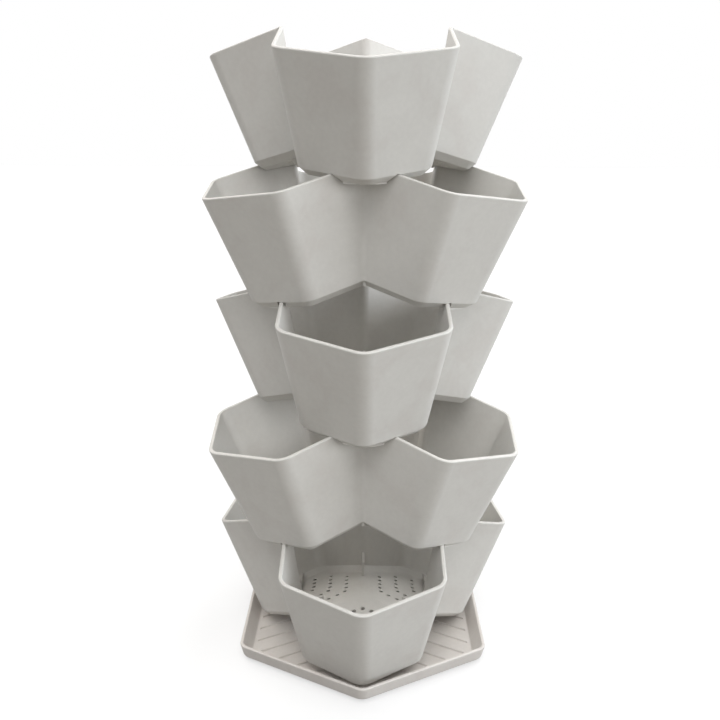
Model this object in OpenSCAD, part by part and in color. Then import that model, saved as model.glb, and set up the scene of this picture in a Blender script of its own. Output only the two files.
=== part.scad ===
// Vertical planter tower: five identical three-lobed pots stacked on a hexagonal drip tray.
// Each pot is turned by 60 degrees from the one below, so that every lobe is open to the sky.
// Origin: centre of the tray's underside. +Z is up, and a lobe of the lowest pot points to -Y.

/* [Stack] */
// How deep a pot's lobes drop over the valleys of the pot below
nest_depth = 12.2; // [8:0.1:16]
// Gap left between a pot and what it stands on
seat_gap = 0.3; // [0.1:0.1:1]

/* [Pot rim] */
// Distance from the tower's axis to the tip of a lobe at the rim, before rounding
rim_reach = 171; // [150:1:185]
// Distance along the lobe from the axis to its two rim corners
rim_corner = 130.4; // [120:0.2:140]
// Half the width of a lobe at its rim corners
rim_half = 78.8; // [72:0.2:84]
// Radius at which two neighbouring lobes meet at the rim
rim_waist = 91; // [84:0.2:98]
// Rounding of a lobe's tip
tip_round = 20; // [8:1:24]
// Rounding of a lobe's side corners
corner_round = 17; // [6:1:18]
// Rounding of the valley between two lobes
valley_round = 7; // [5:0.5:12]

/* [Pot foot] */
// Distance from the axis to the tip of a lobe where the wall ends
foot_reach = 123.5; // [112:0.5:135]
// Distance along the lobe from the axis to its two foot corners
foot_corner = 91.7; // [84:0.1:100]
// Half the width of a lobe at its foot corners
foot_half = 59.9; // [54:0.1:66]
// Radius at which two neighbouring lobes meet at the foot
foot_waist = 71; // [62:0.5:78]
// How far the foot chamfer runs inwards
chamfer_in = 8; // [4:0.5:12]
// How far the foot chamfer runs down
chamfer_drop = 7.4; // [4:0.2:10]

/* [Pot shell] */
// Height of the walls, from the foot straight up to the rim
body_rise = 112.4; // [95:0.2:120]
// Drop of rim and floor for each unit of length outwards along a lobe
fall_share = 0.272; // [0.2:0.004:0.3]
// Wall thickness
wall = 3.8; // [2.4:0.2:4.4]
// Floor thickness
floor_thick = 3; // [2:0.2:4]

/* [Nesting slot] */
// Room in front of the lower pot's wall
slot_front = 1.6; // [1.2:0.1:6]
// Room behind the lower pot's wall
slot_back = 0.8; // [0.6:0.1:4]
// Thickness of the hood that closes each slot inside the pot
hood_wall = 2.4; // [1.6:0.1:3.6]

/* [Drainage] */
// Diameter of a drain hole
drain_d = 3.6; // [2:0.2:6]
// Distance between neighbouring holes of a row
drain_pitch = 10.6; // [8:0.2:12]
// Distance between neighbouring rows, and of the first row from the ridge
drain_row = 18.5; // [15:0.5:19]
// How far the hole at each bend is set out beyond the bend
drain_nose = 1.5; // [0:0.1:3]

/* [Ribs] */
// Thickness of the rib at each valley
rib_thick = 2.7; // [2:0.1:4]
// Radius from the axis to the rib's front edge
rib_front = 48; // [40:1:56]
// Height of the rib's front edge above the floor
rib_low = 15; // [8:1:20]
// Height of the rib where it meets the wall
rib_high = 16.5; // [12:0.5:24]

/* [Drip tray] */
// How far the tray's rim corners stand out beyond the foot of a pot's lobes
tray_margin = 19.7; // [14:0.1:30]
// How far the corners of the tray's side lean in from the rim to the chamfer
tray_lean = 3.6; // [0:0.1:6]
// Height of the tray
tray_rise = 16.8; // [12:0.2:24]
// Thickness of the tray's floor
tray_floor = 2.5; // [2:0.1:4]
// Thickness of the tray's rim
tray_wall = 3.2; // [2.4:0.2:4]
// Rounding of the tray's corners
tray_round = 12; // [8:1:16]
// How far the chamfer under the tray's side runs up
tray_chamfer = 4.3; // [2:0.1:6]
// How far the corners of that chamfer run inwards
tray_chamfer_in = 7.9; // [3:0.1:10]
// Distance between two floor grooves
groove_pitch = 19.5; // [14:0.5:24]
// Width of a floor groove
groove_wide = 2; // [1:0.2:3]
// Depth of a floor groove
groove_deep = 0.8; // [0.4:0.1:1.2]

/* [Hidden] */

LOBES = 3;
lobe_turn = 360 / LOBES;
pot_turn = lobe_turn / 2;
front = -90;
TRAY_SIDES = 6;
side_turn = 360 / TRAY_SIDES;
arc_steps = 4;
drain_rows = [4, 4, 3];

// One overrun serves every cut
over = 5;

// Level of a sloping plane: its height over the tower's axis
foot_level = fall_share * foot_reach;
rim_level = foot_level + body_rise;
under_level = foot_level - chamfer_drop;
floor_level = under_level + floor_thick;

// Height of a sloping plane over a point of one lobe
function height_at(level, along) = level - fall_share * along;

// Underside of the lobe tips below the pot's datum, which is the foot of its lobe tips
tip_half_turn = atan2(foot_half, foot_reach - foot_corner);
tip_in = foot_reach - chamfer_in / sin(tip_half_turn) - tip_round * (1 / sin(tip_half_turn) - 1);
tip_under = height_at(under_level, tip_in);
first_pot_z = tray_floor + seat_gap - tip_under;

// Top of the lower pot's valley, seen from the datum of the pot that sits on it
peak_z = height_at(under_level, rim_waist) + nest_depth;

// Height from one pot to the same place on the next one
pitch = height_at(rim_level, rim_waist * cos(pot_turn)) - peak_z;

function unit(v) = v / norm(v);
function left_of(v) = [-v.y, v.x];
function turned(p, a) = [p.x * cos(a) - p.y * sin(a), p.x * sin(a) + p.y * cos(a)];

// Corner points of a three-lobed outline, anticlockwise, the first lobe pointing along +X
function lobed(reach, corner, half, waist) = [
    for (k = [0:LOBES - 1])
        for (p = [[corner, -half], [reach, 0], [corner, half], turned([waist, 0], lobe_turn / 2)])
            turned(p, k * lobe_turn)
];

// Corner points of the tray's outline
function hexagon(reach) = [for (k = [0:TRAY_SIDES - 1]) turned([reach, 0], k * side_turn)];

// The same outline moved inwards by d all the way round
function inset(pts, d) = let(n = len(pts)) [
    for (i = [0:n - 1])
        let(a = pts[(i + n - 1) % n], b = pts[i], c = pts[(i + 1) % n],
            m = left_of(unit(b - a)), q = left_of(unit(c - b)))
        b + d * (m + q) / (1 + m * q)
];

// Points of the arc of radius r that rounds corner b between a and c
function arc(a, b, c, r) =
    let(u = unit(a - b), v = unit(c - b), half = acos(u * v) / 2,
        mid = b + unit(u + v) * r / sin(half), p = b + u * r / tan(half) - mid,
        sweep = sign(cross(b - a, c - b)) * (180 - 2 * half))
    [for (i = [0:arc_steps]) mid + turned(p, sweep * i / arc_steps)];

// An outline with all its corners rounded by the radii in rs, taken in turn
function rounded(pts, rs) = let(n = len(pts)) [
    for (i = [0:n - 1])
        each arc(pts[(i + n - 1) % n], pts[i], pts[(i + 1) % n], rs[i % len(rs)])
];

// Distance of a point along the axis of the lobe that it lies in
function along(p) = max([for (k = [0:LOBES - 1]) p * turned([1, 0], k * lobe_turn)]);

// A flat outline laid on a sloping plane, or on a level one
function sloped(pts, level) = [for (p = pts) [p.x, p.y, height_at(level, along(p))]];
function flat(pts, z) = [for (p = pts) [p.x, p.y, z]];

outer_radii = [corner_round, tip_round, corner_round, valley_round];
inner_radii = [corner_round - wall, tip_round - wall, corner_round - wall, valley_round + wall];
foot_outline = lobed(foot_reach, foot_corner, foot_half, foot_waist);
rim_outline = lobed(rim_reach, rim_corner, rim_half, rim_waist);

foot_ring = sloped(rounded(foot_outline, outer_radii), foot_level);
rim_ring = sloped(rounded(rim_outline, outer_radii), rim_level);
under_ring = sloped(rounded(inset(foot_outline, chamfer_in), outer_radii), under_level);
rim_inner_ring = sloped(rounded(inset(rim_outline, wall), inner_radii), rim_level);
foot_inner_ring = sloped(rounded(inset(foot_outline, wall), inner_radii), foot_level);
floor_ring = sloped(rounded(inset(foot_outline, chamfer_in), inner_radii), floor_level);

// A closed solid whose skin runs through a list of rings with as many points each
module skin(rings, low, high) {
    n = len(rings[0]);
    last = len(rings) - 1;
    faces = concat(
        [for (j = [0:last - 1], i = [0:n - 1], k = [0, 1])
            let(a = j * n + i, b = j * n + (i + 1) % n)
            k == 0 ? [a, a + n, b + n] : [a, b + n, b]],
        [for (i = [0:n - 1]) [(last + 1) * n, i, (i + 1) % n]],
        [for (i = [0:n - 1]) [(last + 1) * n + 1, last * n + (i + 1) % n, last * n + i]]
    );
    polyhedron(points = concat([for (r = rings) each r], [[0, 0, low], [0, 0, high]]), faces = faces);
}

module pot_shell() {
    skin([under_ring, foot_ring, rim_ring, rim_inner_ring, foot_inner_ring, floor_ring],
        under_level, floor_level);
}

module pot_outside() {
    skin([under_ring, foot_ring, rim_ring], under_level, rim_level);
}

// A band along one arm of the lower pot's valley, cut off by a plane that falls like its rim
lean_share = (rim_half - foot_half) / body_rise;
slot_lean = lean_share * nest_depth;
arm_long = rim_corner - rim_waist * cos(pot_turn);
module arm_band(before, behind, top) {
    mitre = sin(pot_turn);
    a = [rim_waist + before / mitre, 0];
    b = [rim_waist - behind / mitre, 0];
    run = turned([arm_long, 0], pot_turn);
    intersection() {
        translate([0, 0, under_level - rim_level])
            linear_extrude(height = 2 * rim_level)
                polygon([a, a + run, b + run, b]);
        translate([rim_waist, 0, 0])
            rotate([90, 0, pot_turn])
                linear_extrude(height = 2 * rim_waist, center = true)
                    polygon([
                        [-arm_long, under_level - rim_level],
                        [arm_long, under_level - rim_level],
                        [arm_long, top - fall_share * arm_long],
                        [-arm_long, top + fall_share * arm_long]
                    ]);
    }
}

module vee_band(before, behind, top) {
    for (side = [0, 1])
        mirror([0, side, 0])
            arm_band(before, behind, top);
}

// Hood over the slot, inside the pot
module hoods() {
    intersection() {
        pot_outside();
        for (k = [0:LOBES - 1])
            rotate([0, 0, k * lobe_turn])
                vee_band(slot_front + hood_wall, slot_back + slot_lean + wall + hood_wall,
                    peak_z + seat_gap + hood_wall);
    }
}

// Slot under each lobe that drops over the valley wall of the pot below
module slots() {
    for (k = [0:LOBES - 1])
        rotate([0, 0, k * lobe_turn])
            vee_band(slot_front, slot_back + slot_lean + wall, peak_z + seat_gap);
}

// Thin upright rib from each valley towards the middle
module ribs() {
    rib_floor = height_at(floor_level, rib_front / 2);
    rib_back = foot_waist - wall / 2;
    rib_foot = height_at(under_level, foot_waist / 2);
    intersection() {
        pot_outside();
        for (k = [0:LOBES - 1])
            rotate([90, 0, k * lobe_turn + lobe_turn / 2])
                linear_extrude(height = rib_thick, center = true)
                    polygon([
                        [rib_front, rib_floor - floor_thick / 2],
                        [rib_back, rib_foot],
                        [rib_back, rib_floor + rib_high],
                        [rib_front, rib_floor + rib_low]
                    ]);
    }
}

// Rows of drain holes, each bent round the lobe's axis and parallel to its two ridges
module drains() {
    for (k = [0:LOBES - 1], row = [1:len(drain_rows)]) {
        bend = row * drain_row / sin(pot_turn);
        rotate([0, 0, k * lobe_turn]) {
            drain(bend + drain_nose, 0);
            for (i = [1:drain_rows[row - 1]], side = [-1, 1]) {
                p = [bend, 0] + turned([i * drain_pitch, 0], side * pot_turn);
                drain(p.x, p.y);
            }
        }
    }
}

module drain(x, y) {
    z = height_at(under_level, x);
    translate([x, y, z - over])
        rotate([0, 0, pot_turn / 4])
            cylinder(h = floor_thick + 2 * over, d = drain_d, $fn = 24);
}

module pot() {
    difference() {
        union() {
            pot_shell();
            hoods();
            ribs();
        }
        slots();
        drains();
    }
}

// Pot number i of the stack, counted from the tray
module placed_pot(i) {
    translate([0, 0, first_pot_z + (i - 1) * pitch])
        rotate([0, 0, front + (i - 1) * pot_turn])
            pot();
}

// Radii to the tray's corners, before rounding: at the rim, above the chamfer and at the foot
tray_reach = foot_reach + tray_margin;
tray_side_foot = tray_reach - tray_lean;
tray_foot_reach = tray_side_foot - tray_chamfer_in;
module tray_dish() {
    radii = [tray_round];
    inner = [tray_round - tray_wall];
    skin([
        flat(rounded(hexagon(tray_foot_reach), radii), 0),
        flat(rounded(hexagon(tray_side_foot), radii), tray_chamfer),
        flat(rounded(hexagon(tray_reach), radii), tray_rise),
        flat(rounded(inset(hexagon(tray_reach), tray_wall), inner), tray_rise),
        flat(rounded(inset(hexagon(tray_foot_reach), tray_wall / 2), inner), tray_floor)
    ], 0, tray_floor);
}

// Grooves of one third of the tray's floor, parallel to the third's own middle line
module groove_fan() {
    reach = tray_foot_reach - tray_wall - tray_floor;
    count = floor(reach * sin(side_turn) / groove_pitch);
    intersection() {
        linear_extrude(height = tray_rise)
            polygon([
                [2 * groove_wide, -groove_wide / 4],
                turned([reach, 0], -side_turn),
                [reach, 0],
                turned([reach, 0], side_turn),
                [2 * groove_wide, groove_wide / 4]
            ]);
        for (i = [-count:count])
            translate([0, i * groove_pitch - groove_wide / 2, tray_floor - groove_deep])
                cube([reach, groove_wide, tray_rise]);
    }
}

module drip_tray() {
    color("#b4b2aa")
        difference() {
            rotate([0, 0, front])
                tray_dish();
            for (k = [0:LOBES - 1])
                rotate([0, 0, front + pot_turn + k * lobe_turn])
                    groove_fan();
        }
}

module pot_1() { color("#b8b6af") placed_pot(1); }
module pot_2() { color("#bab8b1") placed_pot(2); }
module pot_3() { color("#b8b6af") placed_pot(3); }
module pot_4() { color("#bab8b1") placed_pot(4); }
module pot_5() { color("#b8b6af") placed_pot(5); }

drip_tray();
pot_1();
pot_2();
pot_3();
pot_4();
pot_5();
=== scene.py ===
# %% [markdown]
# # A vertical planter tower in moulded plastic
#
# The object is a stack of five identical three-lobed pots on a hexagonal drip tray. Each pot is turned
# by 60 degrees against the one below, so the lobes below stay clear for plants. The lesson shows how one
# injection-moulded shape can be worked out as a surface of two parameters: a wall profile with rounded
# edges, carried round a three-lobed outline. All the pots are then copies of that one mesh.
#
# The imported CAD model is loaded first, as a fixed frame. It says where every pot stands.

# %% Load the frame
import math

import bmesh
import bpy
import numpy as np
from mathutils import Matrix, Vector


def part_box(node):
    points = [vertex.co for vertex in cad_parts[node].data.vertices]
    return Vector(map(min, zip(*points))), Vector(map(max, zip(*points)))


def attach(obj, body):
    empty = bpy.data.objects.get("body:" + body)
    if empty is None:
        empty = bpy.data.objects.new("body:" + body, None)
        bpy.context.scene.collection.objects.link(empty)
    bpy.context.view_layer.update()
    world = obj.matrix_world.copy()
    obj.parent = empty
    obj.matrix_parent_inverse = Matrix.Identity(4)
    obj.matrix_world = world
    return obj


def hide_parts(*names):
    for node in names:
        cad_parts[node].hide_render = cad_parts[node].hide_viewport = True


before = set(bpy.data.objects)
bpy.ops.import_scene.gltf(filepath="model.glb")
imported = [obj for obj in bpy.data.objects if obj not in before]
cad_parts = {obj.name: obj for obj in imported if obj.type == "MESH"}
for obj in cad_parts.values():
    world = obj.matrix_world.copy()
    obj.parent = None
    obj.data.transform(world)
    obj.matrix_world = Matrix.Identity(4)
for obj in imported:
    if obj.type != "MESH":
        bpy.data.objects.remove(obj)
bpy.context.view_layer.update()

MM = 0.001
POTS = ["pot_1", "pot_2", "pot_3", "pot_4", "pot_5"]
TRAY = "drip_tray"

# %% [markdown]
# ## Sizes
#
# The sizes are those of the moulding, in millimetres. Rim, foot and floor of a pot are parallel planes
# that fall outwards along each lobe, so water runs outwards over the drain holes and the lobes open
# outwards. A level is the height at which such a plane meets the pot's axis.

# %% Sizes of the pot
# play between a pot and the one below it
SEAT_GAP = 0.3
# drop of the planes for each millimetre outwards along a lobe
FALL = 0.272
# thickness of the side wall, measured level, and of the floor, measured upright
WALL = 3.8
FLOOR = 3.0
# the foot's chamfer goes in and down by these
CHAMFER_IN = 8.0
CHAMFER_DROP = 7.4
# from the foot's plane up to the rim's
BODY_RISE = 112.4
# inside, the floor's margin rises over this width to meet the wall
RISE_WIDE = 8.5

# reach of a tip, distance and half width of the two corners, radius of the valley
FOOT_SHAPE = (123.5, 91.7, 59.9, 71.0)
RIM_SHAPE = (171.0, 130.4, 78.8, 91.0)
TIP_ROUND, CORNER_ROUND, VALLEY_ROUND = 20.0, 17.0, 7.0
# the underside has tighter corners than the wall over it
UNDER_CORNER_ROUND = 6.0

FOOT_LEVEL = FALL * FOOT_SHAPE[0]
RIM_LEVEL = FOOT_LEVEL + BODY_RISE
UNDER_LEVEL = FOOT_LEVEL - CHAMFER_DROP
FLOOR_LEVEL = UNDER_LEVEL + FLOOR

# lowest point of a pot over its datum: the rounded tip of the underside's outline
half_tip = math.atan2(FOOT_SHAPE[2], FOOT_SHAPE[0] - FOOT_SHAPE[1])
tip = FOOT_SHAPE[0] - CHAMFER_IN / math.sin(half_tip) - TIP_ROUND * (1 / math.sin(half_tip) - 1)
LOWEST = UNDER_LEVEL - FALL * tip
print("foot plane", round(FOOT_LEVEL, 1), "mm, rim plane", round(RIM_LEVEL, 1), "mm, lowest point",
      round(LOWEST, 2), "mm")

# %% [markdown]
# ## Rounded corners
#
# Every edge of a moulding is rounded, because sharp ones would tear in the mould. One function rounds
# a corner of any path in the plane or in space, for a whole array of corners at once: it finds the
# circle that touches both sides, and turns a radius of it from one touching point to the other.


# %% Round a corner
def bend(a, b, c, radius, steps):
    """Points of the arc that rounds corner b between a and c.

    The centre lies on the halving line at radius / sin(half the corner's angle) from b. The arc is the
    spherical blend between the two radii that meet the sides at a right angle.
    """
    radius = np.asarray(radius, float)[..., None]
    u = (a - b) / np.linalg.norm(a - b, axis=-1, keepdims=True)
    v = (c - b) / np.linalg.norm(c - b, axis=-1, keepdims=True)
    half = np.arccos(np.clip((u * v).sum(-1, keepdims=True), -1, 1)) / 2
    middle = (u + v) / np.linalg.norm(u + v, axis=-1, keepdims=True)
    centre = b + middle * radius / np.sin(half)
    start = b + u * radius / np.tan(half) - centre
    stop = b + v * radius / np.tan(half) - centre
    turn = math.pi - 2 * half
    t = np.linspace(0, 1, steps + 1).reshape((-1,) + (1,) * b.ndim)
    return centre + (np.sin((1 - t) * turn) * start + np.sin(t * turn) * stop) / np.sin(turn)


def rotated(points, degrees):
    """Points turned about the upright axis."""
    c, s = math.cos(math.radians(degrees)), math.sin(math.radians(degrees))
    turn = np.eye(points.shape[-1])
    turn[:2, :2] = [[c, -s], [s, c]]
    return points @ turn.T


# %% [markdown]
# ## The outline
#
# Seen from above a pot is a clover of three straight-sided lobes. Four corner points make one lobe and
# the valley after it, and turning them by 120 and 240 degrees gives the rest. An outline moved inwards
# by a distance d has each corner shifted along the sum of its two side normals.


# %% Lobed outlines
def clover(reach, corner, half, valley):
    """Twelve sharp corners, anticlockwise, with the first lobe pointing along +X."""
    lobe = np.array([[corner, -half], [reach, 0], [corner, half],
                     [valley * math.cos(math.pi / 3), valley * math.sin(math.pi / 3)]])
    return np.concatenate([rotated(lobe, 120 * k) for k in range(3)])


def inset(points, distance):
    """The same corners moved inwards: b + d (m + n) / (1 + m . n) for the unit normals m and n."""
    along = np.roll(points, -1, axis=0) - points
    along /= np.linalg.norm(along, axis=1, keepdims=True)
    n = np.stack([-along[:, 1], along[:, 0]], axis=1)
    m = np.roll(n, 1, axis=0)
    return points + distance * (m + n) / (1 + (m * n).sum(axis=1, keepdims=True))


def outline(points, radii, steps):
    """A closed outline with every corner rounded, as one array of points."""
    arcs = bend(np.roll(points, 1, axis=0), points, np.roll(points, -1, axis=0), radii, steps)
    return arcs.transpose(1, 0, 2).reshape(-1, 2)


# one column for each lobe: the direction of its axis
LOBE_ANGLES = np.radians([0, 120, 240])
LOBE_AXES = np.stack([np.cos(LOBE_ANGLES), np.sin(LOBE_ANGLES)])


def along_lobe(points):
    """Distance of each point along the axis of the lobe that it lies in: the largest of the three."""
    return (points[..., :2] @ LOBE_AXES).max(axis=-1)


def sloped(points, level):
    """A flat outline laid on planes that fall outwards: level - FALL times the distance along the lobe."""
    return np.column_stack([points, level - FALL * along_lobe(points)])


# about the millimetres over which two planes of the floor blend
SOFT_RIDGE = 6.0


def softly_sloped(points, level):
    """The same with soft ridges: the distance is s log(sum of exp(d / s)) over the three lobes."""
    reach = points[..., :2] @ LOBE_AXES
    soft = SOFT_RIDGE * np.log(np.exp(reach / SOFT_RIDGE).sum(axis=-1))
    return np.concatenate([points[..., :2], (level - FALL * soft)[..., None]], axis=-1)


OUTER_RADII = np.tile([CORNER_ROUND, TIP_ROUND, CORNER_ROUND, VALLEY_ROUND], 3)
INNER_RADII = OUTER_RADII + np.tile([-WALL, -WALL, -WALL, WALL], 3)
UNDER_RADII = np.tile([UNDER_CORNER_ROUND, TIP_ROUND, UNDER_CORNER_ROUND, VALLEY_ROUND], 3)
# steps in each rounded corner of an outline
TURN_STEPS = 12
foot, rim = clover(*FOOT_SHAPE), clover(*RIM_SHAPE)
print("points in an outline:", len(outline(foot, OUTER_RADII, TURN_STEPS)))

# %% [markdown]
# ## The moulding as a surface of two parameters
#
# At every point of the outline the wall has the same kind of cross-section: underside, chamfer, outer
# wall, rim, inner wall and floor. Six outlines give the six corners of that section, and each corner
# gets its own radius. The grid of arcs, one column for each point of the outline, is the whole skin.
# Two poles close it, one under the floor and one on it. The floor's three planes meet in soft ridges,
# so both its faces have some more rows, shrunk towards the axis.

# %% Wall profile carried round the outline
# in each row: outline, level of its plane, radius of the edge along it, steps of that edge's arc
SECTION = [
    (outline(inset(foot, CHAMFER_IN), UNDER_RADII, TURN_STEPS), UNDER_LEVEL, 1.2, 3),
    (outline(foot, OUTER_RADII, TURN_STEPS), FOOT_LEVEL, 1.6, 4),
    (outline(rim, OUTER_RADII, TURN_STEPS), RIM_LEVEL, 1.3, 5),
    (outline(inset(rim, WALL), INNER_RADII, TURN_STEPS), RIM_LEVEL, 1.0, 4),
    (outline(inset(foot, WALL), INNER_RADII, TURN_STEPS), FOOT_LEVEL, 0.9, 3),
    (outline(inset(foot, WALL + RISE_WIDE), INNER_RADII, TURN_STEPS), FLOOR_LEVEL, 6.0, 5),
]


def wrapped(count, width):
    """Four-sided faces of a grid of closed rings: a, its neighbour b, and the two points over them."""
    a = np.arange((count - 1) * width).reshape(count - 1, width)
    b = np.roll(a, -1, axis=1)
    return np.stack([a, b, b + width, a + width], axis=-1).reshape(-1, 4).tolist()


def carried(rings, radii, steps, bottom, top, under=(), over=()):
    """A closed skin: rows of points from arcs at each ring's corner, and one pole at either end.

    Under and over are plain rows that lie between the arcs and the two poles.
    """
    ends = [np.broadcast_to(bottom, rings[0].shape), np.broadcast_to(top, rings[0].shape)]
    path = [ends[0]] + rings + [ends[1]]
    rows = [bend(path[i], path[i + 1], path[i + 2], radii[i], steps[i]) for i in range(len(rings))]
    grid = np.concatenate([*under, *rows, *over])
    count, width = grid.shape[:2]
    low, high = count * width, count * width + 1
    first = np.arange(width)
    last = first + (count - 1) * width
    low_fan = np.stack([np.roll(first, -1), first, np.full(width, low)], axis=-1)
    high_fan = np.stack([last, np.roll(last, -1), np.full(width, high)], axis=-1)
    points = np.concatenate([grid.reshape(-1, 3), [bottom, top]])
    return points, wrapped(count, width) + low_fan.tolist() + high_fan.tolist()


def mesh_object(name, points, faces):
    """An object from arrays of points in millimetres and lists of corner numbers."""
    mesh = bpy.data.meshes.new(name)
    mesh.from_pydata((np.asarray(points) * MM).tolist(), [], faces)
    mesh.validate()
    obj = bpy.data.objects.new(name, mesh)
    bpy.context.scene.collection.objects.link(obj)
    return obj


# further rows of the floor's two faces, as shares of the outermost one
FLOOR_SHARES = np.linspace(0.88, 0.06, 11)[:, None, None]
shell_points, shell_faces = carried(
    [sloped(line, level) for line, level, _, _ in SECTION],
    [row[2] for row in SECTION],
    [row[3] for row in SECTION],
    softly_sloped(np.zeros(2), UNDER_LEVEL),
    softly_sloped(np.zeros(2), FLOOR_LEVEL),
    under=[softly_sloped(SECTION[0][0] * FLOOR_SHARES[::-1], UNDER_LEVEL)],
    over=[softly_sloped(SECTION[-1][0] * FLOOR_SHARES, FLOOR_LEVEL)],
)
shell = mesh_object("pot_master", shell_points, shell_faces)
print("shell:", len(shell_points), "points,", len(shell_faces), "faces")

# %% [markdown]
# ## Slots and hoods
#
# Where a lobe hangs over the valley of the pot below, its floor has a slot in the shape of a chevron,
# which drops over the two walls that meet there. Inside the pot a thin hood closes the slot, so that
# soil doesn't fall through. Both are the same chevron in two widths: the wider one is joined to the
# pot, and the narrower one is cut out of it.

# %% Chevron bodies over the valley below
# the rim below has its valley here, and its arms are this long
VALLEY = RIM_SHAPE[3]
ARM = RIM_SHAPE[1] - VALLEY / 2
# how deep the rim below reaches into the slot, and how high its valley then comes
NEST_DEPTH = 12.2
PEAK = UNDER_LEVEL - FALL * VALLEY + NEST_DEPTH
# how far the wall below leans over that depth
LEAN = (RIM_SHAPE[2] - FOOT_SHAPE[2]) / BODY_RISE * NEST_DEPTH
# play before and behind the wall below, and thickness of the hood
SLOT_FRONT, SLOT_BACK, HOOD_WALL = 1.6, 0.8, 2.4


def chevron(before, behind, top, base):
    """A closed chevron of two arms, each at 60 degrees to the lobe's axis.

    It reaches from the heights base(plan) up to top, less FALL times the distance from the valley along
    the axis of the lobe below, on either side.
    """
    mitre = math.sin(math.pi / 3)
    arm = ARM * np.array([math.cos(math.pi / 3), math.sin(math.pi / 3)])
    front = np.array([VALLEY + before / mitre, 0])
    back = np.array([VALLEY - behind / mitre, 0])
    flip = np.array([1, -1])
    plan = np.array([front + arm * flip, front, front + arm, back + arm, back, back + arm * flip])
    out = (plan[:, 0] - VALLEY) * math.cos(math.pi / 3) + np.abs(plan[:, 1]) * math.sin(math.pi / 3)
    high = np.column_stack([plan, top - FALL * out])
    low = np.column_stack([plan, base(plan)])
    points = np.concatenate([low, high])
    sides = [[i, (i + 1) % 6, (i + 1) % 6 + 6, i + 6] for i in range(6)]
    caps = [[0, 5, 4, 1], [1, 4, 3, 2], [6, 7, 10, 11], [7, 8, 9, 10]]
    return points, sides + caps


def three_times(points, faces):
    """The same body on each of the three lobes."""
    size = len(points)
    every = np.concatenate([rotated(points, 120 * k) for k in range(3)])
    return every, [[i + k * size for i in face] for k in range(3) for face in faces]


# lower than any point of a pot
WELL_BELOW = -30.0


def under_floor(plan):
    """Heights well below the pot."""
    return np.full(len(plan), WELL_BELOW)


def in_floor(plan):
    """Heights in the middle of the floor's thickness."""
    return UNDER_LEVEL + FLOOR / 2 - FALL * along_lobe(plan)


slot_cutter = mesh_object("slot_cutter", *three_times(*chevron(
    SLOT_FRONT, SLOT_BACK + LEAN + WALL, PEAK + SEAT_GAP, under_floor)))
hood = mesh_object("hood", *three_times(*chevron(
    SLOT_FRONT + HOOD_WALL, SLOT_BACK + LEAN + WALL + HOOD_WALL, PEAK + SEAT_GAP + HOOD_WALL, in_floor)))
print("slot", round(NEST_DEPTH + SEAT_GAP, 1), "mm deep, arms", round(ARM, 1), "mm long")

# %% [markdown]
# ## Joining and cutting
#
# An exact boolean joins two closed bodies, cuts one out of the other, or keeps what they share. The
# hoods are first trimmed to a core that ends inside the wall, so that nothing of them shows outside.


# %% Booleans, applied one after another
def applied(obj):
    """Make the result of an object's modifiers its own mesh."""
    done = bpy.data.meshes.new_from_object(obj.evaluated_get(bpy.context.evaluated_depsgraph_get()))
    obj.modifiers.clear()
    obj.data = done
    return obj


def boolean(obj, other, operation):
    """Join, cut or keep what two closed bodies share, and drop the second one."""
    step = obj.modifiers.new(operation, "BOOLEAN")
    step.operation = operation
    step.solver = "EXACT"
    step.object = other
    applied(obj)
    bpy.data.objects.remove(other)
    return obj


# the core ends halfway through the wall, and lower in the floor than the hoods do
CORE_ROUND, CORE_STEPS = 0.5, 1
core = [
    sloped(outline(inset(foot, CHAMFER_IN), OUTER_RADII, TURN_STEPS), UNDER_LEVEL + FLOOR / 3),
    sloped(outline(inset(foot, WALL / 2), OUTER_RADII, TURN_STEPS), FOOT_LEVEL),
    sloped(outline(inset(rim, WALL / 2), OUTER_RADII, TURN_STEPS), RIM_LEVEL),
]
core_points, core_faces = carried(core, [CORE_ROUND] * 3, [CORE_STEPS] * 3,
                                  np.array([0, 0, UNDER_LEVEL + FLOOR / 3]), np.array([0, 0, RIM_LEVEL]))
boolean(hood, mesh_object("core", core_points, core_faces), "INTERSECT")
boolean(shell, hood, "UNION")
print("with hoods:", len(shell.data.polygons), "faces")

# %% [markdown]
# ## Ribs
#
# A thin upright rib stiffens each valley inside. It is a flat plate that reaches from the wall towards
# the axis. Its lower edge follows the middle of the floor, straight on to its upright back edge, so its
# lowest corner comes a little way out of the foot's chamfer.

# %% Ribs
# thickness, distance of the front edge from the axis, height there and at the wall
RIB_THICK, RIB_FRONT, RIB_LOW, RIB_HIGH = 2.7, 48.0, 15.0, 16.5
rib_floor = FLOOR_LEVEL - FALL * RIB_FRONT / 2
rib_back = FOOT_SHAPE[3] - WALL / 2
rib_foot = UNDER_LEVEL - FALL * FOOT_SHAPE[3] / 2
rib_side = np.array([[RIB_FRONT, 0, rib_floor - FLOOR / 2], [rib_back, 0, rib_foot + FLOOR / 2],
                     [rib_back, 0, rib_floor + RIB_HIGH], [RIB_FRONT, 0, rib_floor + RIB_LOW]])
rib_points = np.concatenate([rib_side + [0, -RIB_THICK / 2, 0], rib_side + [0, RIB_THICK / 2, 0]])
rib_faces = [[0, 1, 2, 3], [7, 6, 5, 4]] + [[i + 4, (i + 1) % 4 + 4, (i + 1) % 4, i] for i in range(4)]
ribs = mesh_object("ribs", *three_times(rotated(rib_points, 60), rib_faces))
boolean(shell, ribs, "UNION")
print("with ribs:", len(shell.data.polygons), "faces")

# %% [markdown]
# ## Level pads
#
# Outwards from each slot the tip of the lobe is thicker below and ends in a level face, so that the pot
# stands flat on three pads. A pad reaches from the slot to the rounded tip, and its two ends show beside
# the slot. Its plan follows the underside's own outline.

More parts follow.
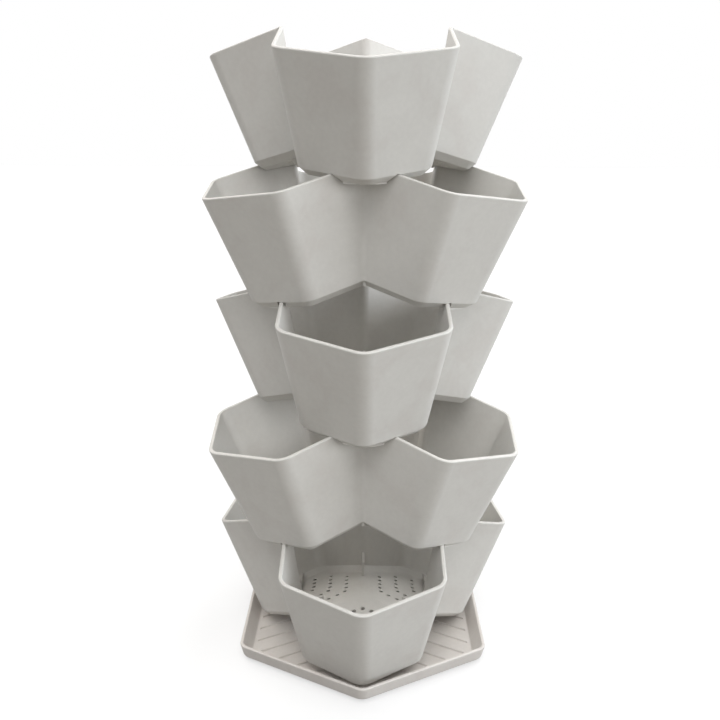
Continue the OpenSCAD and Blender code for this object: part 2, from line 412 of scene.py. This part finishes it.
# %% Pads under the tips
# half of a pad's width, its distance from the underside's edge, and its height over the lowest point
PAD_HALF, PAD_INSET, PAD_LIFT = 21.0, 0.3, 0.02
pad_corners = inset(foot, CHAMFER_IN + PAD_INSET)
low_side, pad_tip, high_side = pad_corners[:3]
pad_arc = outline(pad_corners, UNDER_RADII, TURN_STEPS)[TURN_STEPS + 1:2 * (TURN_STEPS + 1)]
share = PAD_HALF / high_side[1]
pad_plan = np.array([(VALLEY, 0.0), pad_tip + share * (low_side - pad_tip), *pad_arc,
                     pad_tip + share * (high_side - pad_tip)])
pad_points = np.concatenate([np.column_stack([pad_plan, np.full(len(pad_plan), LOWEST + PAD_LIFT)]),
                             np.column_stack([pad_plan, in_floor(pad_plan)])])
around = len(pad_plan)
pad_faces = [list(range(around))[::-1], list(range(around, 2 * around))]
pad_faces += [[i, (i + 1) % around, (i + 1) % around + around, i + around] for i in range(around)]
boolean(shell, mesh_object("pads", *three_times(pad_points, pad_faces)), "UNION")
boolean(shell, slot_cutter, "DIFFERENCE")
print("with pads and slots:", len(shell.data.polygons), "faces")

# %% [markdown]
# ## Drain holes
#
# The floor of each lobe has rows of small drain holes. A row is a chevron that bends on the lobe's axis.
# Each hole widens downwards, so that water and grit fall through, and has a soft edge at both of the
# floor's faces. Its cutter is a turned pin, and one boolean takes all of them out.

# %% Drain holes
# from hole to hole, from row to row, and how far the hole in the bend stands out from it
DRAIN_PITCH, DRAIN_ROW, DRAIN_NOSE = 10.6, 18.5, 1.5
# holes on each leg, from the innermost row outwards
ROW_LENGTHS = [4, 4, 3]
places = []
for row, length in enumerate(ROW_LENGTHS, 1):
    row_bend = row * DRAIN_ROW / math.sin(math.pi / 3)
    places.append([[row_bend + DRAIN_NOSE, 0]])
    leg = np.arange(1, length + 1)[:, None] * [[DRAIN_PITCH, 0]]
    for side in (-60, 60):
        places.append(rotated(leg, side) + [row_bend, 0])
places = np.concatenate(places)
places = np.concatenate([rotated(places, 120 * k) for k in range(3)])

PIN_SIDES = 20
# radius of the pin, and its height over the middle of the floor's thickness
PIN = np.array([(5.2, -4.5), (3.1, -1.62), (2.9, -1.4), (2.7, -0.9), (2.2, 0.9), (2.2, 1.4), (2.4, 1.62),
                (5.0, 4.5)])
pin_turns = 2 * math.pi * np.arange(PIN_SIDES) / PIN_SIDES
pin = np.stack([PIN[:, :1] * np.cos(pin_turns), PIN[:, :1] * np.sin(pin_turns),
                PIN[:, 1:] + 0 * pin_turns], axis=-1).reshape(-1, 3)
pin_top = (len(PIN) - 1) * PIN_SIDES
pin_faces = wrapped(len(PIN), PIN_SIDES)
pin_faces += [list(range(PIN_SIDES))[::-1], [i + pin_top for i in range(PIN_SIDES)]]

# a pin's rings follow the fall of its own lobe, so its soft edges lie in the floor's two faces
direction = LOBE_AXES.T[np.argmax(places @ LOBE_AXES, axis=1)]
pins = np.empty((len(places), len(pin), 3))
pins[..., :2] = places[:, None, :] + pin[None, :, :2]
pins[..., 2] = (UNDER_LEVEL + FLOOR / 2 - FALL * (pins[..., :2] * direction[:, None, :]).sum(-1)
                + pin[None, :, 2])
pin_all = [[i + k * len(pin) for i in face] for k in range(len(places)) for face in pin_faces]
boolean(shell, mesh_object("pins", pins.reshape(-1, 3), pin_all), "DIFFERENCE")
print("pot:", len(shell.data.polygons), "faces,", len(places), "drain holes")

# %% [markdown]
# ## Five pots from one mould
#
# The finished mesh is copied five times. Each copy is turned and lifted in its mesh, so that the object
# itself stays at the origin, where the CAD frame has it. Surfaces are shaded smoothly, apart from the
# edges that are sharper than the rounded ones, and weighted normals keep the large faces flat.

# %% Place the pots
# an edge that turns by more than this stays sharp
SMOOTH_LIMIT = math.radians(25)
# points nearer than this are merged, in millimetres
MERGE = 0.002
# how strongly the large faces draw the normals
FLAT_WEIGHT = 60


def finished(obj, node):
    """Clean a mesh, shade it smooth between its edges and let it ride in place of its CAD node."""
    work = bmesh.new()
    work.from_mesh(obj.data)
    bmesh.ops.remove_doubles(work, verts=work.verts, dist=MERGE * MM)
    bmesh.ops.dissolve_degenerate(work, edges=work.edges, dist=MERGE * MM)
    work.to_mesh(obj.data)
    work.free()
    obj.data.shade_smooth()
    obj.data.set_sharp_from_angle(angle=SMOOTH_LIMIT)
    weighted = obj.modifiers.new("weighted", "WEIGHTED_NORMAL")
    weighted.keep_sharp = True
    weighted.weight = FLAT_WEIGHT
    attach(obj, node)
    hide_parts(node)
    return obj


def moved_points(obj, turn, lift):
    """Turn a mesh's points about the upright axis and lift them, in the mesh itself."""
    flat = np.empty(len(obj.data.vertices) * 3)
    obj.data.vertices.foreach_get("co", flat)
    points = rotated(flat.reshape(-1, 3), turn) + [0, 0, lift * MM]
    obj.data.vertices.foreach_set("co", points.ravel())
    obj.data.update()


# a lobe of the lowest pot points at the viewer, along -Y
FRONT = -90
pot_step = (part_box(POTS[-1])[0][2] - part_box(POTS[0])[0][2]) / (len(POTS) - 1) / MM
first_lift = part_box(POTS[0])[0][2] / MM - LOWEST
pots = []
for number, pot_name in enumerate(POTS):
    pot = bpy.data.objects.new(pot_name + "_moulding", shell.data.copy())
    bpy.context.scene.collection.objects.link(pot)
    moved_points(pot, FRONT + 60 * number, first_lift + pot_step * number)
    pots.append(finished(pot, pot_name))
bpy.data.objects.remove(shell)
print("pot 1 is lifted by", round(first_lift, 3), "mm, the step is", round(pot_step, 3), "mm")

# %% [markdown]
# ## The drip tray
#
# The tray is a shallow hexagonal dish with a rounded lower edge. Its skin is the same kind of surface
# as the pots': a short profile, here of five edges, carried round a hexagon with rounded corners.

# %% Tray
# reach of a corner at the rim, at the foot of the side and at the underside
TRAY_REACH, TRAY_SIDE_FOOT, TRAY_FOOT = 143.2, 139.6, 131.7
TRAY_RISE, TRAY_FLOOR, TRAY_WALL, TRAY_ROUND, TRAY_CHAMFER = 16.8, 2.5, 3.2, 12.0, 4.3


def hexagon(reach):
    """Six corners on a circle of radius reach, 60 degrees apart, one of them towards the viewer."""
    turn = np.radians(FRONT + 60 * np.arange(6))
    return reach * np.stack([np.cos(turn), np.sin(turn)], axis=1)


def level_ring(points, height):
    """A flat outline at one height."""
    return np.column_stack([points, np.full(len(points), height)])


tray_radii = np.full(6, TRAY_ROUND)
tray_inner = tray_radii - TRAY_WALL
# in each row: corners, their radii, height, radius of the edge along the ring, steps of its arc
TRAY_SECTION = [
    (hexagon(TRAY_FOOT), tray_radii, 0.0, 2.5, 4),
    (hexagon(TRAY_SIDE_FOOT), tray_radii, TRAY_CHAMFER, 4.0, 5),
    (hexagon(TRAY_REACH), tray_radii, TRAY_RISE, 1.2, 5),
    (inset(hexagon(TRAY_REACH), TRAY_WALL), tray_inner, TRAY_RISE, 1.0, 4),
    (inset(hexagon(TRAY_FOOT), TRAY_WALL / 2), tray_inner, TRAY_FLOOR, 2.5, 4),
]
tray_rings = [level_ring(outline(corners, radii, TURN_STEPS), height)
              for corners, radii, height, _, _ in TRAY_SECTION]
tray = mesh_object("tray_moulding", *carried(
    tray_rings,
    [row[3] for row in TRAY_SECTION],
    [row[4] for row in TRAY_SECTION],
    np.zeros(3),
    np.array([0, 0, TRAY_FLOOR]),
))

# %% [markdown]
# ## Grooves in the tray
#
# Each third of the tray's floor has a set of parallel grooves that run outwards and lead water away from
# under the pot. All their cutters are bars of one cross-section, and one boolean takes them out.

# %% Grooves in the tray's floor
# from groove to groove, where the middle one starts, and the shortest one that is cut
GROOVE_PITCH, GROOVE_START, GROOVE_SHORTEST = 19.5, 3.5, 1.0
groove_reach = TRAY_FOOT - TRAY_WALL - TRAY_FLOOR
each_way = int(groove_reach * math.sin(math.pi / 3) / GROOVE_PITCH)
# the cross-section: sideways from the groove's middle line, and up from the tray's floor
PROFILE = np.array([(-2.0, 3.0), (-1.5, 0.0), (-1.1, -1.6), (1.1, -1.6), (1.5, 0.0), (2.0, 3.0)])
CORNERS = len(PROFILE)
bars, bar_faces = [], []
for third in range(3):
    for offset in GROOVE_PITCH * np.arange(-each_way, each_way + 1):
        w = offset + PROFILE[:, 0]
        near = np.abs(w) / math.tan(math.pi / 3) + GROOVE_START
        far = groove_reach - np.abs(w) / math.tan(math.pi / 3)
        if (far - near).min() < GROOVE_SHORTEST:
            continue
        z = TRAY_FLOOR + PROFILE[:, 1]
        base = len(bars) * 2 * CORNERS
        end = base + CORNERS
        bars.append(rotated(np.concatenate([np.column_stack([near, w, z]), np.column_stack([far, w, z])]),
                            FRONT + 60 + 120 * third))
        bar_faces += [[base + i for i in range(CORNERS)][::-1], [end + i for i in range(CORNERS)]]
        bar_faces += [[base + i, base + (i + 1) % CORNERS, end + (i + 1) % CORNERS, end + i]
                      for i in range(CORNERS)]
grooves = mesh_object("grooves", np.concatenate(bars), bar_faces)
groove_work = bmesh.new()
groove_work.from_mesh(grooves.data)
bmesh.ops.recalc_face_normals(groove_work, faces=groove_work.faces)
groove_work.to_mesh(grooves.data)
groove_work.free()
boolean(tray, grooves, "DIFFERENCE")
finished(tray, TRAY)
print("tray:", len(bars), "grooves,", len(tray.data.polygons), "faces")

# %% [markdown]
# ## Matt moulded plastic
#
# The pots are injection-moulded polypropylene. It is opaque and only faintly glossy, because the mould
# was left with a fine grain. Large walls cool unevenly, which leaves soft clouds a few centimetres
# across in the colour. So the material has clouds and specks in its colour, a fine grain as bump, and a
# roughness that varies a little.


# %% Material helpers
def linear(code):
    """A colour from an sRGB hex code, turned to linear values."""
    value = np.array([int(code[i:i + 2], 16) for i in (1, 3, 5)]) / 255
    value = np.where(value <= 0.04045, value / 12.92, ((value + 0.055) / 1.055) ** 2.4)
    return (*value, 1.0)


def node(tree, kind, links=(), **settings):
    """Add a shader node with its settings, and link sockets as (input, other node, output)."""
    new = tree.nodes.new(kind)
    for key, value in settings.items():
        if key.startswith("in_"):
            new.inputs[key[3:].replace("_", " ")].default_value = value
        else:
            setattr(new, key, value)
    for target, source, output in links:
        tree.links.new(source.outputs[output], new.inputs[target])
    return new


def moulded_plastic(name, pale, mid, deep, offset):
    """Matt polypropylene with clouds, specks and a fine mould grain."""
    material = bpy.data.materials.new(name)
    material.use_nodes = True
    tree = material.node_tree
    shader = tree.nodes["Principled BSDF"]
    shader.inputs["IOR"].default_value = 1.49
    shader.inputs["Specular IOR Level"].default_value = 0.45
    where = node(tree, "ShaderNodeTexCoord")
    shift = node(tree, "ShaderNodeMapping", [("Vector", where, "Object")], in_Location=offset)
    # clouds a few centimetres across
    clouds = node(tree, "ShaderNodeTexNoise", [("Vector", shift, "Vector")], in_Scale=26.0, in_Detail=4.0,
                  in_Roughness=0.6, in_Distortion=0.4)
    cloud_ramp = node(tree, "ShaderNodeValToRGB", [("Fac", clouds, "Fac")])
    ramp = cloud_ramp.color_ramp
    ramp.elements[0].position, ramp.elements[0].color = 0.36, linear(deep)
    ramp.elements[1].position, ramp.elements[1].color = 0.66, linear(pale)
    ramp.elements.new(0.5).color = linear(mid)
    # specks about 4 mm across
    specks = node(tree, "ShaderNodeTexNoise", [("Vector", shift, "Vector")], in_Scale=240.0, in_Detail=3.0)
    speck_ramp = node(tree, "ShaderNodeMapRange", [("Value", specks, "Fac")], in_From_Min=0.35,
                      in_From_Max=0.65, in_To_Min=0.985, in_To_Max=1.012)
    colour = node(tree, "ShaderNodeVectorMath", [(0, cloud_ramp, "Color"), (1, speck_ramp, "Result")],
                  operation="MULTIPLY")
    tree.links.new(colour.outputs["Vector"], shader.inputs["Base Color"])
    rough = node(tree, "ShaderNodeMapRange", [("Value", clouds, "Fac")], in_From_Min=0.3, in_From_Max=0.7,
                 in_To_Min=0.42, in_To_Max=0.54)
    tree.links.new(rough.outputs["Result"], shader.inputs["Roughness"])
    # the mould's grain, about 0.7 mm and so coarser than the real one, which would be too fine to show,
    # and a slow waviness of the cooled wall, about 3 cm
    grain = node(tree, "ShaderNodeTexNoise", [("Vector", shift, "Vector")], in_Scale=1400.0, in_Detail=2.0)
    waves = node(tree, "ShaderNodeTexNoise", [("Vector", shift, "Vector")], in_Scale=35.0, in_Detail=1.0)
    slow = node(tree, "ShaderNodeBump", [("Height", waves, "Fac")], in_Strength=0.10, in_Distance=0.0012)
    fine = node(tree, "ShaderNodeBump", [("Height", grain, "Fac"), ("Normal", slow, "Normal")],
                in_Strength=0.16, in_Distance=0.00012)
    tree.links.new(fine.outputs["Normal"], shader.inputs["Normal"])
    return material


# %% [markdown]
# ## One plastic for six pieces
#
# Pots and tray are the same light warm grey, the tray a touch pinker. Each piece has a material of its
# own, in which the pattern is shifted, so that no two pieces show the same clouds.

# %% Give the pieces their material
for number, pot in enumerate(pots):
    plastic = moulded_plastic(f"matt_polypropylene_{number + 1}", "#d1cfca", "#cfcdc8", "#ccc9c4",
                              (0.37 * number, 0.11 * number, 0.05))
    pot.data.materials.clear()
    pot.data.materials.append(plastic)
tray.data.materials.clear()
tray.data.materials.append(moulded_plastic("matt_polypropylene_tray", "#d3cec9", "#d0cbc6", "#ccc6c1",
                                           (0.2, 0.5, 0.3)))
print("materials:", [piece.data.materials[0].name for piece in [*pots, tray]])

# %% [markdown]
# ## Camera
#
# The photograph was taken from in front and about level with the top pot, looking slightly down. The
# camera is placed by its distance, its height and four angles, and the lens follows from a focal length
# in pixels of the 720-pixel frame. The lens points above the frame's middle, and a shift makes up for it.

# %% Camera
# degrees: way round the tower, aim beside its axis, tilt of the frame, and look downwards
CAM_TURN, CAM_YAW, CAM_ROLL, CAM_PITCH = -0.16, 0.296, 0.258, 10.827
# millimetres from the axis and above the ground
CAM_DISTANCE, CAM_HEIGHT = 897.7, 545.1
# pixels: focal length, and row of the frame that the lens points at
CAM_FOCAL, CAM_CENTRE = 906.0, 284.5
FRAME_PIXELS = 720.0
SENSOR_WIDTH = 36.0
CLIP_NEAR, CLIP_FAR = 0.01, 50.0

pitch, roll = math.radians(CAM_PITCH), math.radians(CAM_ROLL)
right = np.array([1.0, 0.0, 0.0])
up = np.array([0.0, math.sin(pitch), math.cos(pitch)])
look = np.array([0.0, math.cos(pitch), -math.sin(pitch)])
image_x = math.cos(roll) * right + math.sin(roll) * up
image_y = -math.sin(roll) * right + math.cos(roll) * up
axes = rotated(np.stack([image_x, image_y, -look]), CAM_YAW - CAM_TURN)
spot = rotated(np.array([0.0, -CAM_DISTANCE, CAM_HEIGHT]), -CAM_TURN) * MM
camera_data = bpy.data.cameras.new("camera")
camera_data.sensor_width = SENSOR_WIDTH
camera_data.lens = CAM_FOCAL / FRAME_PIXELS * camera_data.sensor_width
camera_data.shift_y = (CAM_CENTRE - FRAME_PIXELS / 2) / FRAME_PIXELS
camera_data.clip_start, camera_data.clip_end = CLIP_NEAR, CLIP_FAR
camera = bpy.data.objects.new("camera", camera_data)
matrix = np.eye(4)
matrix[:3, :3] = axes.T
matrix[:3, 3] = spot
camera.matrix_world = Matrix(matrix.tolist())
bpy.context.scene.collection.objects.link(camera)
bpy.context.scene.camera = camera
print("lens", round(camera_data.lens, 2), "mm, shift", round(camera_data.shift_y, 4))

# %% [markdown]
# ## Floor and surroundings
#
# The photograph's background is white. To the camera and in reflections the surroundings are white, but
# they light the object only weakly, so that its own shading shows. Most of what the camera sees of the
# floor is plain white too, and the rest is a matt paint that keeps the soft shadow.


# %% Floor and surroundings
def seen_directly(tree):
    """1 for what the camera, a reflection or something clear shows, 0 for what lights the object."""
    path = node(tree, "ShaderNodeLightPath")
    some = node(tree, "ShaderNodeMath", [(0, path, "Is Camera Ray"), (1, path, "Is Glossy Ray")],
                operation="MAXIMUM")
    return node(tree, "ShaderNodeMath", [(0, some, "Value"), (1, path, "Is Transmission Ray")],
                operation="MAXIMUM")


# metres from the middle of the floor to its sides
HALF_FLOOR = 8.0
# share of plain white in what is seen of the floor, and strength of the surroundings' own light
PLAIN_SHARE, FILL_LEVEL = 0.6, 0.04
floor_mesh = bpy.data.meshes.new("studio_floor")
floor_mesh.from_pydata([(-HALF_FLOOR, -HALF_FLOOR, 0), (HALF_FLOOR, -HALF_FLOOR, 0),
                        (HALF_FLOOR, HALF_FLOOR, 0), (-HALF_FLOOR, HALF_FLOOR, 0)], [], [(0, 1, 2, 3)])
studio_floor = bpy.data.objects.new("studio_floor", floor_mesh)
bpy.context.scene.collection.objects.link(studio_floor)
floor_paint = bpy.data.materials.new("matt_floor_paint")
floor_paint.use_nodes = True
floor_tree = floor_paint.node_tree
floor_tree.nodes.clear()
shadowed = node(floor_tree, "ShaderNodeBsdfDiffuse", in_Color=linear("#f4f4f4"))
plain = node(floor_tree, "ShaderNodeEmission", in_Color=(1, 1, 1, 1), in_Strength=1.0)
pale = node(floor_tree, "ShaderNodeMixShader", [(1, shadowed, "BSDF"), (2, plain, "Emission")],
            in_Fac=PLAIN_SHARE)
bounce = node(floor_tree, "ShaderNodeBsdfDiffuse", in_Color=linear("#88857f"))
floor_mix = node(floor_tree, "ShaderNodeMixShader",
                 [(0, seen_directly(floor_tree), "Value"), (1, bounce, "BSDF"), (2, pale, "Shader")])
node(floor_tree, "ShaderNodeOutputMaterial", [("Surface", floor_mix, "Shader")])
floor_mesh.materials.append(floor_paint)

world = bpy.data.worlds.new("studio_world")
bpy.context.scene.world = world
world.use_nodes = True
world_tree = world.node_tree
world_tree.nodes.clear()
fill = node(world_tree, "ShaderNodeBackground", in_Color=(1, 1, 1, 1), in_Strength=FILL_LEVEL)
white = node(world_tree, "ShaderNodeBackground", in_Color=(1, 1, 1, 1), in_Strength=1.0)
world_mix = node(world_tree, "ShaderNodeMixShader",
                 [(0, seen_directly(world_tree), "Value"), (1, fill, "Background"),
                  (2, white, "Background")])
node(world_tree, "ShaderNodeOutputWorld", [("Surface", world_mix, "Shader")])
print("floor", 2 * HALF_FLOOR, "m wide, surroundings light the object at", FILL_LEVEL)

# %% [markdown]
# ## Soft lights
#
# Seven lights stand in for the photograph's soft studio light, and their strengths follow its tones: two
# low at the right, two higher in front, a weak one at the left and in front, and two behind that
# brighten the rims and the insides. Each is a sun with a wide disc, whose light has the same strength
# all over the scene and leaves soft shadows.

# %% Soft lights
# metres from the origin to where a lamp is drawn, which makes no difference to a sun's light
LAMP_AWAY = 3.0


def soft_light(name, azimuth, height, disc, level, tint="#ffffff"):
    """A sun with a wide disc. Azimuth and height say where it stands, and level is its strength.

    Its energy is pi times the level, so that at level 1 a matt face turned to it renders in the colour
    that is written for it.
    """
    data = bpy.data.lights.new(name, "SUN")
    data.angle = math.radians(disc)
    data.energy = math.pi * level
    data.color = linear(tint)[:3]
    turn, rise = math.radians(azimuth), math.radians(height)
    back = np.array([math.cos(rise) * math.cos(turn), math.cos(rise) * math.sin(turn), math.sin(rise)])
    side = np.array([-math.sin(turn), math.cos(turn), 0.0])
    axes = np.eye(4)
    axes[:3, 0], axes[:3, 1], axes[:3, 2] = side, np.cross(back, side), back
    axes[:3, 3] = LAMP_AWAY * back
    lamp = bpy.data.objects.new(name, data)
    lamp.matrix_world = Matrix(axes.tolist())
    bpy.context.scene.collection.objects.link(lamp)


soft_light("right", 0, 5, 24, 0.45, "#eff7ff")
soft_light("right_front", -25, 8, 24, 0.36, "#fafcff")
soft_light("front", -90, 35, 50, 0.22)
soft_light("high_front", -90, 65, 50, 0.57)
soft_light("left", -135, 15, 50, 0.15, "#f6f9ff")
soft_light("behind_left", 135, 45, 50, 0.43, "#fffaf4")
soft_light("behind_right", 45, 45, 50, 0.45)

bpy.context.scene.view_settings.view_transform = "Standard"
